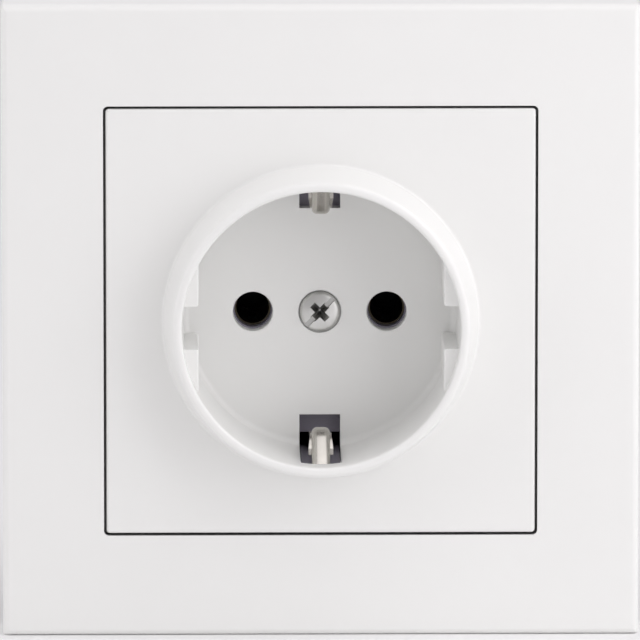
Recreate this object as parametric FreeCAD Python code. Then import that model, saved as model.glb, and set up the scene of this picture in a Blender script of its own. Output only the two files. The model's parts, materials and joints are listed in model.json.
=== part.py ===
import FreeCAD, Part
import math
import os

# Type F wall socket, millimetres. +Z is up, +X is to the right, the face looks along -Y.
# The origin is on the wall plane, on the axis of the round recess.

# Cover frame
frame_border = 14.35
frame_depth = 9.5
frame_skin = 2.2
frame_wall = 1.8
frame_corner_r = 0.5
frame_edge_r = 1.0
opening_side = 61.3
opening_corner_r = 0.7
skirt_wall = 1.6
ledge_width = 1.6
ledge_thick = 1.5
frame_rib = 1.0
frame_rib_short = 3.0
frame_ribs_per_side = 4
pry_step_length = 10.0
pry_step_proud = 0.18
pry_step_back = 0.5

# Centre plate with its collar and pot
plate_gap = 0.35
plate_corner_r = 0.5
plate_edge_r = 0.3
plate_skin = 1.9
plate_rim_thick = 2.4
plate_rim_width = 2.6
plate_rib = 1.0
plate_rib_deep = 2.6
plate_rib_end_gap = 10.4
collar_height = 8.4
crest_r = 19.6
crest_width = 1.3
crest_outer_round = 0.75
crest_inner_edge = 0.3
foot_width = 2.9
foot_round = 0.6
recess_depth = 17.5
recess_draft = 0.15
recess_corner = 0.8
pot_wall = 1.65
floor_thick = 2.4

# Guides and slots in the recess
guide_depth = 2.35
guide_below_crest = 2.5
guide_groove = 6.1
guide_round = 0.3
slot_width = 5.8
slot_into_floor = 4.8
slot_into_wall = 1.3
slot_below_crest = 3.4

# Plug pins
pin_pitch = 19.0
pin_hole_r = 2.8
pin_hole_round = 0.25

# Centre screw
screw_head_r = 2.9
screw_head_rim = 0.25
screw_dome = 0.9
screw_r = 1.48
screw_length = 11.0
screw_seat_gap = 0.15
screw_hole_r = 1.7
screw_slot_width = 0.8
screw_slot_depth = 0.7
screw_cross_length = 3.2
screw_cross_width = 0.95
screw_cross_depth = 1.5
screw_turn_deg = 45.0

# Support ring
ring_margin = 11.0
ring_thick = 1.2
ring_corner_r = 4.0
ring_clear = 0.4
fixing_slot_margin = 3.9
fixing_slot_length = 7.0
fixing_slot_r = 1.8
index_hole_r = 2.1
index_hole_inset = 6.0

# Socket base
base_step = 0.95
base_wall = 1.6
base_front_wall = 2.0
base_length = 22.0
tower_set_back = 0.55
tower_thick = 0.65
tower_side_gap = 0.15
tower_end_gap = 0.2
finger_window_gap = 0.3
ear_width = 7.0
ear_into_base = 1.4
ear_pot_gap = 0.45
rivet_from_ring = 2.7
rivet_r = 1.5
rivet_head_r = 2.3
rivet_head_thick = 0.7
rivet_gap = 0.05
rivet_angle_deg = 45.0

# Rear cover
cover_thick = 2.0
cover_edge = 0.6
cover_lip = 1.6
cover_lip_wall = 1.2
cover_gap = 0.1
cover_post_r = 2.1
cover_post_length = 3.2

# Earth yoke, one stamping with two spring fingers
yoke_thick = 0.7
yoke_half_width = 3.5
yoke_channel_gap = 0.25
yoke_neck_length = 2.0
finger_thick = 0.6
finger_half_width = 1.3
finger_web_half_width = 0.5
finger_neck_half_width = 1.5
finger_shoulder_half_width = 1.75
finger_flat_arch = 0.05
finger_root_inset = 1.6
finger_corner_inset = 4.85
finger_corner_below_crest = 8.1
finger_bend_r = 3.0
finger_tip_inset = -0.1
finger_end_gap = 0.5
finger_shoulder_length = 1.6
finger_bend_inner = 0.8
finger_tower_gap = 0.15
thread_boss_r = 2.4
thread_boss_length = 2.2
thread_gap = 0.02

# Contacts and terminals
contact_thick = 0.8
tulip_bore_r = 2.35
tulip_wall = 0.7
tulip_length = 13.0
tulip_slit = 1.2
tulip_collar = 3.0
chamber_gap = 0.85
pin_entry_r = 2.6
pole_wall_gap = 0.4
pole_gap = 0.35
spring_thick = 0.4
spring_width = 3.5
spring_gap = 0.02
spring_open_deg = 70.0
spring_from_end = 2.0
terminal_wall_room = 4.15
terminal_angle_deg = 32.3
earth_terminal_wall_room = 5.1
earth_terminal_angle_deg = -63.6
terminal_screw_r = 1.75
terminal_head_r = 2.7
terminal_head_height = 1.6
terminal_head_gap = 0.3
terminal_screw_length = 6.6
terminal_slot_width = 0.8
terminal_slot_depth = 0.8
terminal_hole_gap = 0.15
clamp_side = 5.6
clamp_thick = 1.2
wire_room = 2.4
wire_window_width = 5.8

# Levels that follow from the sizes above
face_y = -frame_depth
crest_y = face_y - collar_height
floor_y = crest_y + recess_depth
floor_back_y = floor_y + floor_thick
frame_side = opening_side + 2 * frame_border
plate_side = opening_side - 2 * plate_gap
ledge_y = face_y + plate_rim_thick
crest_outer_r = crest_r + crest_width
foot_r = crest_r + foot_width
recess_floor_r = crest_r - recess_draft
pot_outer_r = crest_r + pot_wall
guide_x = crest_r - guide_depth
guide_y = crest_y + guide_below_crest
slot_inner_r = crest_r - slot_into_floor
slot_outer_r = crest_r + slot_into_wall
slot_end_y = crest_y + slot_below_crest
base_r = pot_outer_r + base_step
base_inside_r = base_r - base_wall
base_front_y = floor_back_y
metal_y = base_front_y + base_front_wall
base_back_y = base_front_y + base_length
ring_opening_r = base_r + ring_clear
fixing_pitch = 2 * (ring_opening_r + fixing_slot_margin + fixing_slot_length / 2)
ring_side = fixing_pitch + ring_margin
index_hole_at = ring_side / 2 - index_hole_inset
rivet_pitch_r = ring_opening_r + rivet_from_ring
ear_back_y = base_front_y + ear_into_base
tower_r = crest_r + tower_set_back
finger_back_r = tower_r - finger_tower_gap
finger_root_r = crest_r - finger_root_inset
finger_corner_r = crest_r - finger_corner_inset
finger_corner_y = crest_y + finger_corner_below_crest
finger_arch = finger_half_width - finger_web_half_width
finger_strip_r = finger_root_r + finger_arch
finger_tip_r = crest_r - finger_tip_inset
finger_tip_y = slot_end_y + finger_end_gap
tulip_outer_r = tulip_bore_r + tulip_wall
chamber_r = tulip_outer_r + chamber_gap
clamp_y = metal_y + contact_thick + wire_room
terminal_r = base_inside_r - terminal_wall_room
terminal_x = terminal_r * math.cos(math.radians(terminal_angle_deg))
terminal_z = terminal_r * math.sin(math.radians(terminal_angle_deg))
earth_terminal_r = base_inside_r - earth_terminal_wall_room
earth_terminal_x = earth_terminal_r * math.cos(math.radians(earth_terminal_angle_deg))
earth_terminal_z = earth_terminal_r * math.sin(math.radians(earth_terminal_angle_deg))
pole_inner_x = terminal_x - clamp_side / 2
pole_half_height = terminal_z + clamp_side / 2
past = 1.0
sides = (-1, 1)


def box(x0, x1, y0, y1, z0, z1):
    return Part.makeBox(x1 - x0, y1 - y0, z1 - z0, FreeCAD.Vector(x0, y0, z0))


def disc(radius, y0, y1, x=0.0, z=0.0):
    return Part.makeCylinder(radius, y1 - y0, FreeCAD.Vector(x, y0, z), FreeCAD.Vector(0, 1, 0))


def turned(points):
    """Solid of revolution about the Y axis from (radius, y) points."""
    corners = [FreeCAD.Vector(radius, y, 0) for radius, y in points]
    outline = Part.makePolygon(corners + corners[:1])
    return Part.Face(outline).revolve(FreeCAD.Vector(0, 0, 0), FreeCAD.Vector(0, 1, 0), 360)


def slab(side, corner_r, y0, y1):
    """Square slab, centred, with its four corners rounded in the front view."""
    half = side / 2
    body = box(-half, half, y0, y1, -half, half)
    uprights = [edge for edge in body.Edges if abs(edge.tangentAt(edge.FirstParameter).y) > 0.9]
    return body.makeFillet(corner_r, uprights)


def edges_at(shape, y, radius=None):
    """Edges that lie in the plane y, or the circles there of one radius."""
    found = []
    for edge in shape.Edges:
        bounds = edge.BoundBox
        flat = abs(bounds.YMin - y) < 1e-5 and abs(bounds.YMax - y) < 1e-5
        if not flat:
            continue
        if radius is None or abs(bounds.XMax - radius) < 1e-4:
            found.append(edge)
    return found


def turned_about_y(shape, degrees):
    copy = shape.copy()
    copy.rotate(FreeCAD.Vector(0, 0, 0), FreeCAD.Vector(0, 1, 0), degrees)
    return copy


def fused(shapes):
    return shapes[0].multiFuse(shapes[1:]).removeSplitter()


def make_cover_frame():
    """Square moulding, hollow behind, with a skirt and a ledge round its opening."""
    half = frame_side / 2
    body = box(-half, half, face_y, 0, -half, half)
    body = body.makeFillet(frame_edge_r, edges_at(body, face_y))
    uprights = [edge for edge in body.Edges if corner_edge(edge, half)]
    body = body.makeFillet(frame_corner_r, uprights)
    hollow_side = frame_side - 2 * frame_wall
    hollow = slab(hollow_side, frame_corner_r, face_y + frame_skin, past)
    skirt_side = opening_side + 2 * skirt_wall
    skirt = slab(skirt_side, opening_corner_r + skirt_wall, face_y + frame_skin - past, -ring_thick)
    ribs = make_frame_ribs(hollow_side / 2, skirt_side / 2)
    opening = slab(opening_side, opening_corner_r, face_y - past, past)
    ledge = slab(opening_side + skirt_wall, opening_corner_r, ledge_y, ledge_y + ledge_thick)
    mouth = slab(opening_side - 2 * ledge_width, opening_corner_r, face_y - past, past)
    shell = body.cut(hollow).fuse(skirt).multiFuse(ribs).cut(opening)
    shell = shell.fuse(ledge.cut(mouth))
    right = opening_side / 2
    pry_step = box(right - pry_step_proud, right + skirt_wall / 2, face_y + pry_step_back,
                   ledge_y + ledge_thick / 2, -pry_step_length / 2, pry_step_length / 2)
    return shell.fuse(pry_step).removeSplitter()


def corner_edge(edge, half):
    """True on the four outer corners of the frame, the bent ends at the front included."""
    middle = edge.CenterOfMass
    return abs(middle.x) > half - frame_edge_r and abs(middle.z) > half - frame_edge_r


def make_frame_ribs(outer, inner):
    ribs = []
    span = 2 * inner
    for index in range(frame_ribs_per_side):
        at = -span / 2 + span * (index + 0.5) / frame_ribs_per_side
        rib = box(at - frame_rib / 2, at + frame_rib / 2, face_y + frame_skin / 2,
                  -frame_rib_short, inner - skirt_wall / 2, outer + frame_wall / 2)
        ribs.extend(turned_about_y(rib, quarter * 90) for quarter in range(4))
    return ribs


def make_centre_plate():
    """Square face, raised collar and round pot in one moulding."""
    face = slab(plate_side, plate_corner_r, face_y, face_y + plate_skin)
    face = face.makeFillet(plate_edge_r, edges_at(face, face_y))
    rim = slab(plate_side, plate_corner_r, face_y + plate_skin / 2, ledge_y)
    rim = rim.cut(slab(plate_side - 2 * plate_rim_width, plate_corner_r, face_y, past))
    pot = turned([(0, crest_y), (crest_outer_r, crest_y), (foot_r, face_y), (pot_outer_r, face_y),
                  (pot_outer_r, floor_back_y), (0, floor_back_y)])
    body = fused([face, rim, pot] + make_plate_ribs())
    recess = turned([(0, floor_y), (recess_floor_r, floor_y), (crest_r, crest_y), (0, crest_y)])
    body = body.cut(recess.makeChamfer(recess_corner, edges_at(recess, floor_y, recess_floor_r)))
    body = body.makeFillet(foot_round, edges_at(body, face_y, foot_r))
    body = body.makeFillet(crest_outer_round, edges_at(body, crest_y, crest_outer_r))
    body = body.makeChamfer(crest_inner_edge, edges_at(body, crest_y, crest_r))
    body = body.multiFuse(make_guides())
    body = body.cut(make_earth_slot(1)).cut(make_earth_slot(-1))
    for side in sides:
        body = body.cut(make_pin_hole(side * pin_pitch / 2))
    return body.cut(make_screw_seat()).removeSplitter()


def make_plate_ribs():
    """Four diagonal ribs behind the face, from the pot out towards the rim."""
    reach = plate_side / math.sqrt(2) - plate_rib_end_gap
    rib = box(pot_outer_r - past, reach, face_y + plate_skin / 2,
              face_y + plate_skin + plate_rib_deep, -plate_rib / 2, plate_rib / 2)
    return [turned_about_y(rib, 45 + quarter * 90) for quarter in range(4)]


def make_guides():
    """Flats at both sides of the recess, each split by a groove."""
    guides = []
    round_part = disc(crest_r + crest_width / 4, guide_y, floor_y + floor_thick / 2)
    for side in sides:
        inner, outer = sorted((side * guide_x, side * (crest_r + past)))
        chord = box(inner, outer, guide_y - past, floor_back_y, -crest_r, crest_r)
        flat = round_part.common(chord)
        ledge_edges = [edge for edge in edges_at(flat, guide_y) if edge.Curve.TypeId == "Part::GeomLine"]
        flat = flat.makeFillet(guide_round, ledge_edges)
        groove = box(inner - past, outer + past, guide_y - past, floor_y,
                     -guide_groove / 2, guide_groove / 2)
        guides.append(flat.cut(groove))
    return guides


def make_earth_slot(side):
    """Space for one earth finger: through the floor, and up the wall of the recess."""
    half = slot_width / 2
    inside = disc(slot_outer_r, slot_end_y, floor_back_y + past)
    low, high = sorted((side * slot_inner_r, side * (slot_outer_r + past)))
    upper = inside.common(box(-half, half, slot_end_y, floor_back_y + past, low, high))
    low, high = sorted((side * slot_inner_r, side * (pot_outer_r + past)))
    return upper.fuse(box(-half, half, ledge_y, floor_back_y + past, low, high))


def make_pin_hole(x):
    hole = disc(pin_hole_r, floor_y - past, floor_back_y + past, x)
    flare = Part.makeCone(pin_hole_r + pin_hole_round, pin_hole_r, pin_hole_round,
                          FreeCAD.Vector(x, floor_y, 0), FreeCAD.Vector(0, 1, 0))
    return hole.fuse(flare)


def make_screw_seat():
    """Countersink in the floor: a shallow step, then the cone that the head rests on."""
    cone_top = floor_y + screw_head_rim + screw_seat_gap
    top_r = screw_head_r - screw_seat_gap
    cone_depth = top_r - screw_hole_r
    step = disc(screw_head_r + screw_seat_gap, floor_y - past, cone_top)
    cone = Part.makeCone(top_r + thread_gap, screw_hole_r + thread_gap, cone_depth,
                         FreeCAD.Vector(0, cone_top, 0), FreeCAD.Vector(0, 1, 0))
    return fused([step, cone, disc(screw_hole_r, floor_y, floor_back_y + past)])


def make_centre_screw():
    """Raised countersunk screw with a cross recess and a slot."""
    rim_y = floor_y + screw_head_rim
    cone_end = rim_y + screw_head_r - screw_r
    body = turned([(0, floor_y), (screw_head_r, floor_y), (screw_head_r, rim_y),
                   (screw_r, cone_end), (screw_r, floor_y + screw_length),
                   (0, floor_y + screw_length)])
    ball_r = (screw_head_r ** 2 + screw_dome ** 2) / (2 * screw_dome)
    ball = Part.makeSphere(ball_r, FreeCAD.Vector(0, floor_y - screw_dome + ball_r, 0))
    dome = ball.common(disc(screw_head_r, floor_y - screw_dome - past, floor_y))
    top = floor_y - screw_dome
    slot = box(-screw_head_r, screw_head_r, top - past, top + screw_slot_depth,
               -screw_slot_width / 2, screw_slot_width / 2)
    wing = make_recess_wing(top)
    recess = fused([slot, wing, turned_about_y(wing, 90)])
    return fused([body, dome]).cut(turned_about_y(recess, -screw_turn_deg))


def make_recess_wing(top):
    """One of the two crossing wedges of the cross recess, narrower at its bottom."""
    half, low = screw_cross_length / 2, screw_cross_length / 4
    corners = [(-half, top - past), (half, top - past), (half, top), (low, top + screw_cross_depth),
               (-low, top + screw_cross_depth), (-half, top)]
    outline = [FreeCAD.Vector(x, y, -screw_cross_width / 2) for x, y in corners]
    face = Part.Face(Part.makePolygon(outline + outline[:1]))
    return face.extrude(FreeCAD.Vector(0, 0, screw_cross_width))


def make_support_ring():
    """Flat steel plate that is screwed to the wall box and carries the socket."""
    plate = slab(ring_side, ring_corner_r, -ring_thick, 0)
    cuts = [disc(ring_opening_r, -ring_thick - past, past)]
    slot = long_hole(fixing_slot_length, fixing_slot_r, fixing_pitch / 2)
    cuts.extend(turned_about_y(slot, quarter * 90) for quarter in range(4))
    for x in sides:
        for z in sides:
            cuts.append(disc(index_hole_r, -ring_thick - past, past,
                             x * index_hole_at, z * index_hole_at))
    for turn in (0, 180):
        hole = disc(rivet_r + rivet_gap, -ring_thick - past, past, rivet_pitch_r)
        cuts.append(turned_about_y(hole, rivet_angle_deg + turn))
    return plate.cut(cuts[0].multiFuse(cuts[1:]))


def long_hole(length, radius, x):
    """Slot along X through the ring, centred at x."""
    reach = length / 2 - radius
    ends = [disc(radius, -ring_thick - past, past, x + side * reach) for side in sides]
    middle = box(x - reach, x + reach, -ring_thick - past, past, -radius, radius)
    return fused([middle] + ends)


def make_socket_base():
    """Insulating body: a cup open at the back, with chambers for each pole and the yoke."""
    body = disc(base_r, base_front_y, base_back_y)
    for turn in (0, 180):
        body = body.fuse(turned_about_y(make_ear(), rivet_angle_deg + turn))
    inside = disc(base_inside_r, metal_y, base_back_y + past)
    for side in sides:
        body = body.cut(make_pole_room(side).common(inside))
        body = body.cut(disc(pin_entry_r, base_front_y - past, metal_y + past, side * pin_pitch / 2))
        body = body.cut(disc(chamber_r, metal_y, base_back_y + past, side * pin_pitch / 2))
        for z in (-terminal_z, terminal_z):
            body = body.cut(terminal_access(side * terminal_x, z))
            body = body.cut(wire_window(side * terminal_x, z))
    half = yoke_half_width + yoke_channel_gap
    body = body.cut(box(-half, half, metal_y, base_back_y + past, -base_r, base_r).common(inside))
    body = body.cut(make_earth_room().common(inside))
    body = body.cut(terminal_access(earth_terminal_x, earth_terminal_z))
    body = body.cut(wire_window(earth_terminal_x, earth_terminal_z))
    body = body.cut(disc(screw_hole_r, base_front_y - past, metal_y + past))
    for side in sides:
        window = slot_width / 2
        inner_r = finger_strip_r - finger_bend_inner - finger_window_gap
        low, high = sorted((side * inner_r, side * tower_r))
        body = body.cut(box(-window, window, base_front_y - past, metal_y + past, low, high))
        body = body.fuse(make_tower(side))
    return body.removeSplitter()


def make_ear():
    """Lug with a rivet hole, under the ring at one side of the body."""
    inner_r = pot_outer_r + ear_pot_gap
    lug = box(inner_r, rivet_pitch_r, 0, ear_back_y, -ear_width / 2, ear_width / 2)
    nose = disc(ear_width / 2, 0, ear_back_y, rivet_pitch_r)
    nose = nose.cut(box(0, inner_r, -past, ear_back_y + past, -ear_width, ear_width))
    root = box(inner_r - base_wall, rivet_pitch_r, base_front_y, ear_back_y, -ear_width / 2, ear_width / 2)
    hole = disc(rivet_r + rivet_gap, -past, ear_back_y + past, rivet_pitch_r)
    return fused([lug, nose, root]).cut(hole)


def make_pole_room(side):
    """Room for one contact with its two terminals."""
    inner, outer = sorted((side * (pole_inner_x - pole_gap), side * base_r))
    reach = pole_half_height + pole_gap
    return box(inner, outer, metal_y, base_back_y + past, -reach, reach)


def make_earth_room():
    """Room for the yoke's terminal tab."""
    outer = earth_terminal_x + clamp_side / 2 + pole_gap
    top = earth_terminal_z + clamp_side / 2 + pole_gap
    bottom = earth_terminal_z - clamp_side / 2 - pole_gap
    return box(0, outer, metal_y, base_back_y + past, bottom, top)


def terminal_access(x, z):
    """Hole in the front wall for the head of one terminal screw."""
    return disc(terminal_head_r + terminal_head_gap, base_front_y - past, metal_y + past, x, z)


def wire_window(x, z):
    """Opening in the side wall for the wires of one terminal."""
    half = wire_window_width / 2
    low, high = sorted((z, math.copysign(base_r + past, z)))
    return box(x - half, x + half, metal_y + contact_thick, clamp_y + clamp_thick, low, high)


def make_tower(side):
    """Thin curved wall behind one earth finger, up through the slot of the pot."""
    half = slot_width / 2 - tower_side_gap
    end = slot_end_y + tower_end_gap
    wall = disc(tower_r + tower_thick, end, metal_y).cut(disc(tower_r, end - past, metal_y + past))
    low, high = sorted((side * (tower_r - past), side * (tower_r + past)))
    return wall.common(box(-half, half, end, metal_y, low, high))


def make_rear_cover():
    """Lid of the base, with a lip inside the wall and a post behind each contact."""
    lid = disc(base_r, base_back_y, base_back_y + cover_thick)
    lid = lid.makeChamfer(cover_edge, edges_at(lid, base_back_y + cover_thick, base_r))
    lip_r = base_inside_r - cover_gap
    lip = disc(lip_r, base_back_y - cover_lip, base_back_y)
    lip = lip.cut(disc(lip_r - cover_lip_wall, base_back_y - cover_lip - past, base_back_y))
    half = pole_inner_x - pole_gap + cover_gap
    reach = pole_half_height
    arcs = []
    for side in sides:
        low, high = sorted((side * half, side * base_r))
        arcs.append(lip.common(box(low, high, base_back_y - cover_lip, base_back_y, -reach, reach)))
        arcs.append(disc(cover_post_r, base_back_y - cover_post_length, base_back_y,
                         side * pin_pitch / 2))
    return fused([lid] + arcs)


def make_earth_yoke():
    """Strap across the base with a threaded boss, a terminal tab and two spring fingers."""
    back = metal_y + yoke_thick
    end = finger_root_r - yoke_neck_length
    strap = box(-yoke_half_width, yoke_half_width, metal_y, back, -end, end)
    tab_half = clamp_side / 2
    tab = box(0, earth_terminal_x + tab_half, metal_y, back,
              earth_terminal_z - tab_half, earth_terminal_z + tab_half)
    boss = disc(thread_boss_r, metal_y, metal_y + thread_boss_length)
    parts = [strap, tab, boss, make_finger(1), make_finger(-1)]
    yoke = fused(parts)
    yoke = yoke.cut(disc(screw_r + thread_gap, metal_y - past, back + thread_boss_length + past))
    return yoke.cut(disc(terminal_screw_r + terminal_hole_gap, metal_y - past, back + past,
                         earth_terminal_x, earth_terminal_z))


def finger_section(y, radius, arch):
    """Channel section of the finger across X at one height: a flat web at the given radius, two
    rounded corners and the wings. arch is how far the wings lie behind the web: small where the
    strip is still flat.
    """
    web, wall, wing = finger_web_half_width, finger_half_width, finger_shoulder_half_width
    base = radius + arch
    back = base + finger_thick
    inner = wall - finger_thick
    web_back = radius + finger_thick
    leg_end = back - finger_thick * arch / finger_arch

    def at(x, r):
        return FreeCAD.Vector(x, y, r)

    def rounded(side, x, r0, r1):
        """Middle of the quarter round from (x, r0) to the web's end at r1."""
        turn = math.sqrt(0.5)
        return at(side * (web + (x - web) * turn), r0 + (r1 - r0) * turn)

    edges = [
        Part.LineSegment(at(-wing, base), at(-wall, base)),
        Part.Arc(at(-wall, base), rounded(-1, wall, base, radius), at(-web, radius)),
        Part.LineSegment(at(-web, radius), at(web, radius)),
        Part.Arc(at(web, radius), rounded(1, wall, base, radius), at(wall, base)),
        Part.LineSegment(at(wall, base), at(wing, base)),
        Part.LineSegment(at(wing, base), at(wing, back)),
        Part.LineSegment(at(wing, back), at(inner, back)),
        Part.LineSegment(at(inner, back), at(inner, leg_end)),
        Part.Arc(at(inner, leg_end), rounded(1, inner, leg_end, web_back), at(web, web_back)),
        Part.LineSegment(at(web, web_back), at(-web, web_back)),
        Part.Arc(at(-web, web_back), rounded(-1, inner, leg_end, web_back), at(-inner, leg_end)),
        Part.LineSegment(at(-inner, leg_end), at(-inner, back)),
        Part.LineSegment(at(-inner, back), at(-wing, back)),
        Part.LineSegment(at(-wing, back), at(-wing, base)),
    ]
    return Part.Wire([edge.toShape() for edge in edges])


def finger_path():
    """Line of the web in the plane x = 0: up, round the contact bulge, out to the tip."""
    start = FreeCAD.Vector(0, floor_y, finger_root_r)
    tip = FreeCAD.Vector(0, finger_tip_y, finger_tip_r)
    corner = FreeCAD.Vector(0, finger_corner_y, finger_corner_r)
    down = (start - corner).normalize()
    out = (tip - corner).normalize()
    half_turn = (math.pi - down.getAngle(out)) / 2
    back_off = finger_bend_r * math.tan(half_turn)
    middle = (down + out).normalize() * (finger_bend_r / math.cos(half_turn) - finger_bend_r)
    first, last = corner + down * back_off, corner + out * back_off
    edges = [Part.LineSegment(start, first), Part.Arc(first, corner + middle, last),
             Part.LineSegment(last, tip)]
    return Part.Wire([edge.toShape() for edge in edges])


def make_finger(side):
    """One spring finger: bent up from the strap, drawn into a channel, bulged and turned out."""
    full = finger_section(floor_y, finger_root_r, finger_arch)
    lean = math.atan2(finger_root_r - finger_corner_r, floor_y - finger_corner_y)
    full.rotate(FreeCAD.Vector(0, floor_y, finger_root_r), FreeCAD.Vector(1, 0, 0), math.degrees(lean))
    blade = finger_path().makePipeShell([full], True, True)
    flat_y = metal_y - finger_bend_inner
    flat = finger_section(flat_y, finger_strip_r, finger_flat_arch)
    form = Part.makeLoft([flat, full], True)
    finger = fused([blade, form])
    for x in sides:
        finger = finger.cut(make_finger_trim(x))
    back_z = math.sqrt(finger_back_r ** 2 - finger_shoulder_half_width ** 2)
    wing_reach = finger_shoulder_half_width + past
    finger = finger.common(box(-wing_reach, wing_reach, crest_y, metal_y + past, 0, back_z))
    finger = fused([finger] + make_finger_bend(flat_y))
    if side < 0:
        finger = finger.mirror(FreeCAD.Vector(0, 0, 0), FreeCAD.Vector(0, 0, 1))
    return finger


def make_finger_trim(side):
    """What is stamped off one edge of the strip: neck, shoulder behind the bulge and narrow nose."""
    neck, shoulder = finger_neck_half_width, finger_shoulder_half_width
    nose_y = finger_corner_y - finger_shoulder_length
    outside = shoulder + past
    outline = [(outside, metal_y + past), (neck, metal_y + past), (neck, finger_corner_y),
               (shoulder, nose_y), (finger_half_width, nose_y), (finger_half_width, crest_y),
               (outside, crest_y)]
    corners = [FreeCAD.Vector(side * x, y, 0) for x, y in outline]
    face = Part.Face(Part.makePolygon(corners + corners[:1]))
    return face.extrude(FreeCAD.Vector(0, 0, crest_r + past))


def make_finger_bend(flat_y):
    """Flat strip from the end of the strap round a quarter turn to the foot of the channel."""
    wing = finger_neck_half_width
    centre_z = finger_strip_r - finger_bend_inner
    outer = finger_bend_inner + finger_thick
    strip = disc(outer, -wing, wing).cut(disc(finger_bend_inner, -wing - past, wing + past))
    strip.rotate(FreeCAD.Vector(0, 0, 0), FreeCAD.Vector(0, 0, 1), 90)
    strip.translate(FreeCAD.Vector(0, flat_y, centre_z))
    quarter = strip.common(box(-wing, wing, flat_y, flat_y + outer, centre_z, centre_z + outer))
    neck_start = finger_root_r - yoke_neck_length - yoke_half_width / 2
    neck = box(-wing, wing, metal_y, metal_y + finger_thick, neck_start, centre_z)
    return [quarter, neck]


def make_contact(side):
    """Brass contact of one pole: split sleeve for the plug pin and a plate for two terminals."""
    x = side * pin_pitch / 2
    end = metal_y + tulip_length
    sleeve = disc(tulip_outer_r, metal_y, end, x)
    inner, outer = sorted((side * pole_inner_x, side * base_r))
    plate = box(inner, outer, metal_y, metal_y + contact_thick, -pole_half_height, pole_half_height)
    plate = plate.common(disc(base_inside_r - pole_wall_gap, metal_y, metal_y + contact_thick))
    inner, outer = sorted((x, side * terminal_x))
    bridge = box(inner, outer, metal_y, metal_y + contact_thick, -tulip_outer_r, tulip_outer_r)
    contact = fused([sleeve, plate, bridge]).cut(disc(tulip_bore_r, metal_y - past, end + past, x))
    slit = box(x - tulip_slit / 2, x + tulip_slit / 2, metal_y + tulip_collar, end + past,
               -tulip_outer_r - past, tulip_outer_r + past)
    contact = contact.cut(slit)
    for z in (-terminal_z, terminal_z):
        contact = contact.cut(disc(terminal_screw_r + terminal_hole_gap, metal_y - past,
                                   metal_y + contact_thick + past, side * terminal_x, z))
    return contact.removeSplitter()


def make_contact_spring(side):
    """Open steel band that presses the two leaves of the sleeve together."""
    x = side * pin_pitch / 2
    inner_r = tulip_outer_r + spring_gap
    end = metal_y + tulip_length - spring_from_end
    band = disc(inner_r + spring_thick, end - spring_width, end, x)
    band = band.cut(disc(inner_r, end - spring_width - past, end + past, x))
    reach = 2 * chamber_r
    spread = reach * math.tan(math.radians(spring_open_deg / 2))
    corners = [FreeCAD.Vector(x, end + past, 0), FreeCAD.Vector(x + reach, end + past, spread),
               FreeCAD.Vector(x + reach, end + past, -spread)]
    wedge = Part.Face(Part.makePolygon(corners + corners[:1]))
    wedge = wedge.extrude(FreeCAD.Vector(0, -spring_width - 2 * past, 0))
    if side > 0:
        wedge.rotate(FreeCAD.Vector(x, 0, 0), FreeCAD.Vector(0, 1, 0), 180)
    return band.cut(wedge)


def make_terminal_screw(x, z):
    """Cheese-head screw with a slot, its head against the terminal plate."""
    top = metal_y - terminal_head_height
    head = disc(terminal_head_r, top, metal_y, x, z)
    shank = disc(terminal_screw_r - thread_gap, metal_y, metal_y + terminal_screw_length, x, z)
    slot = box(x - terminal_head_r - past, x + terminal_head_r + past, top - past,
               top + terminal_slot_depth, z - terminal_slot_width / 2, z + terminal_slot_width / 2)
    return fused([head, shank]).cut(slot)


def make_clamp_plate(x, z):
    """Square threaded plate that the screw pulls up against the wires."""
    half = clamp_side / 2
    plate = box(x - half, x + half, clamp_y, clamp_y + clamp_thick, z - half, z + half)
    return plate.cut(disc(terminal_screw_r, clamp_y - past, clamp_y + clamp_thick + past, x, z))


def make_rivet(turn):
    """Rivet through the ring and one ear of the base."""
    rivet = fused([disc(rivet_head_r, -ring_thick - rivet_head_thick, -ring_thick, rivet_pitch_r),
                   disc(rivet_r, -ring_thick, ear_back_y, rivet_pitch_r),
                   disc(rivet_head_r, ear_back_y, ear_back_y + rivet_head_thick, rivet_pitch_r)])
    return turned_about_y(rivet, rivet_angle_deg + turn)


def all_pieces():
    pieces = {
        "cover_frame": make_cover_frame(),
        "centre_plate": make_centre_plate(),
        "centre_screw": make_centre_screw(),
        "support_ring": make_support_ring(),
        "socket_base": make_socket_base(),
        "rear_cover": make_rear_cover(),
        "earth_yoke": make_earth_yoke(),
        "earth_terminal_screw": make_terminal_screw(earth_terminal_x, earth_terminal_z),
        "earth_clamp_plate": make_clamp_plate(earth_terminal_x, earth_terminal_z),
        "ring_rivet_upper": make_rivet(180),
        "ring_rivet_lower": make_rivet(0),
    }
    for pole, side in (("line", -1), ("neutral", 1)):
        pieces[pole + "_contact"] = make_contact(side)
        pieces[pole + "_contact_spring"] = make_contact_spring(side)
        for level, z in (("upper", terminal_z), ("lower", -terminal_z)):
            pieces[f"{pole}_terminal_screw_{level}"] = make_terminal_screw(side * terminal_x, z)
            pieces[f"{pole}_clamp_plate_{level}"] = make_clamp_plate(side * terminal_x, z)
    return pieces


os.makedirs("parts", exist_ok=True)
for name, solid in all_pieces().items():
    print(name, "solids", len(solid.Solids), "valid", solid.isValid(), "mm3", round(solid.Volume, 1))
    solid.exportStep(f"parts/{name}.step")
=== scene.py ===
import json
import math

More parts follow.
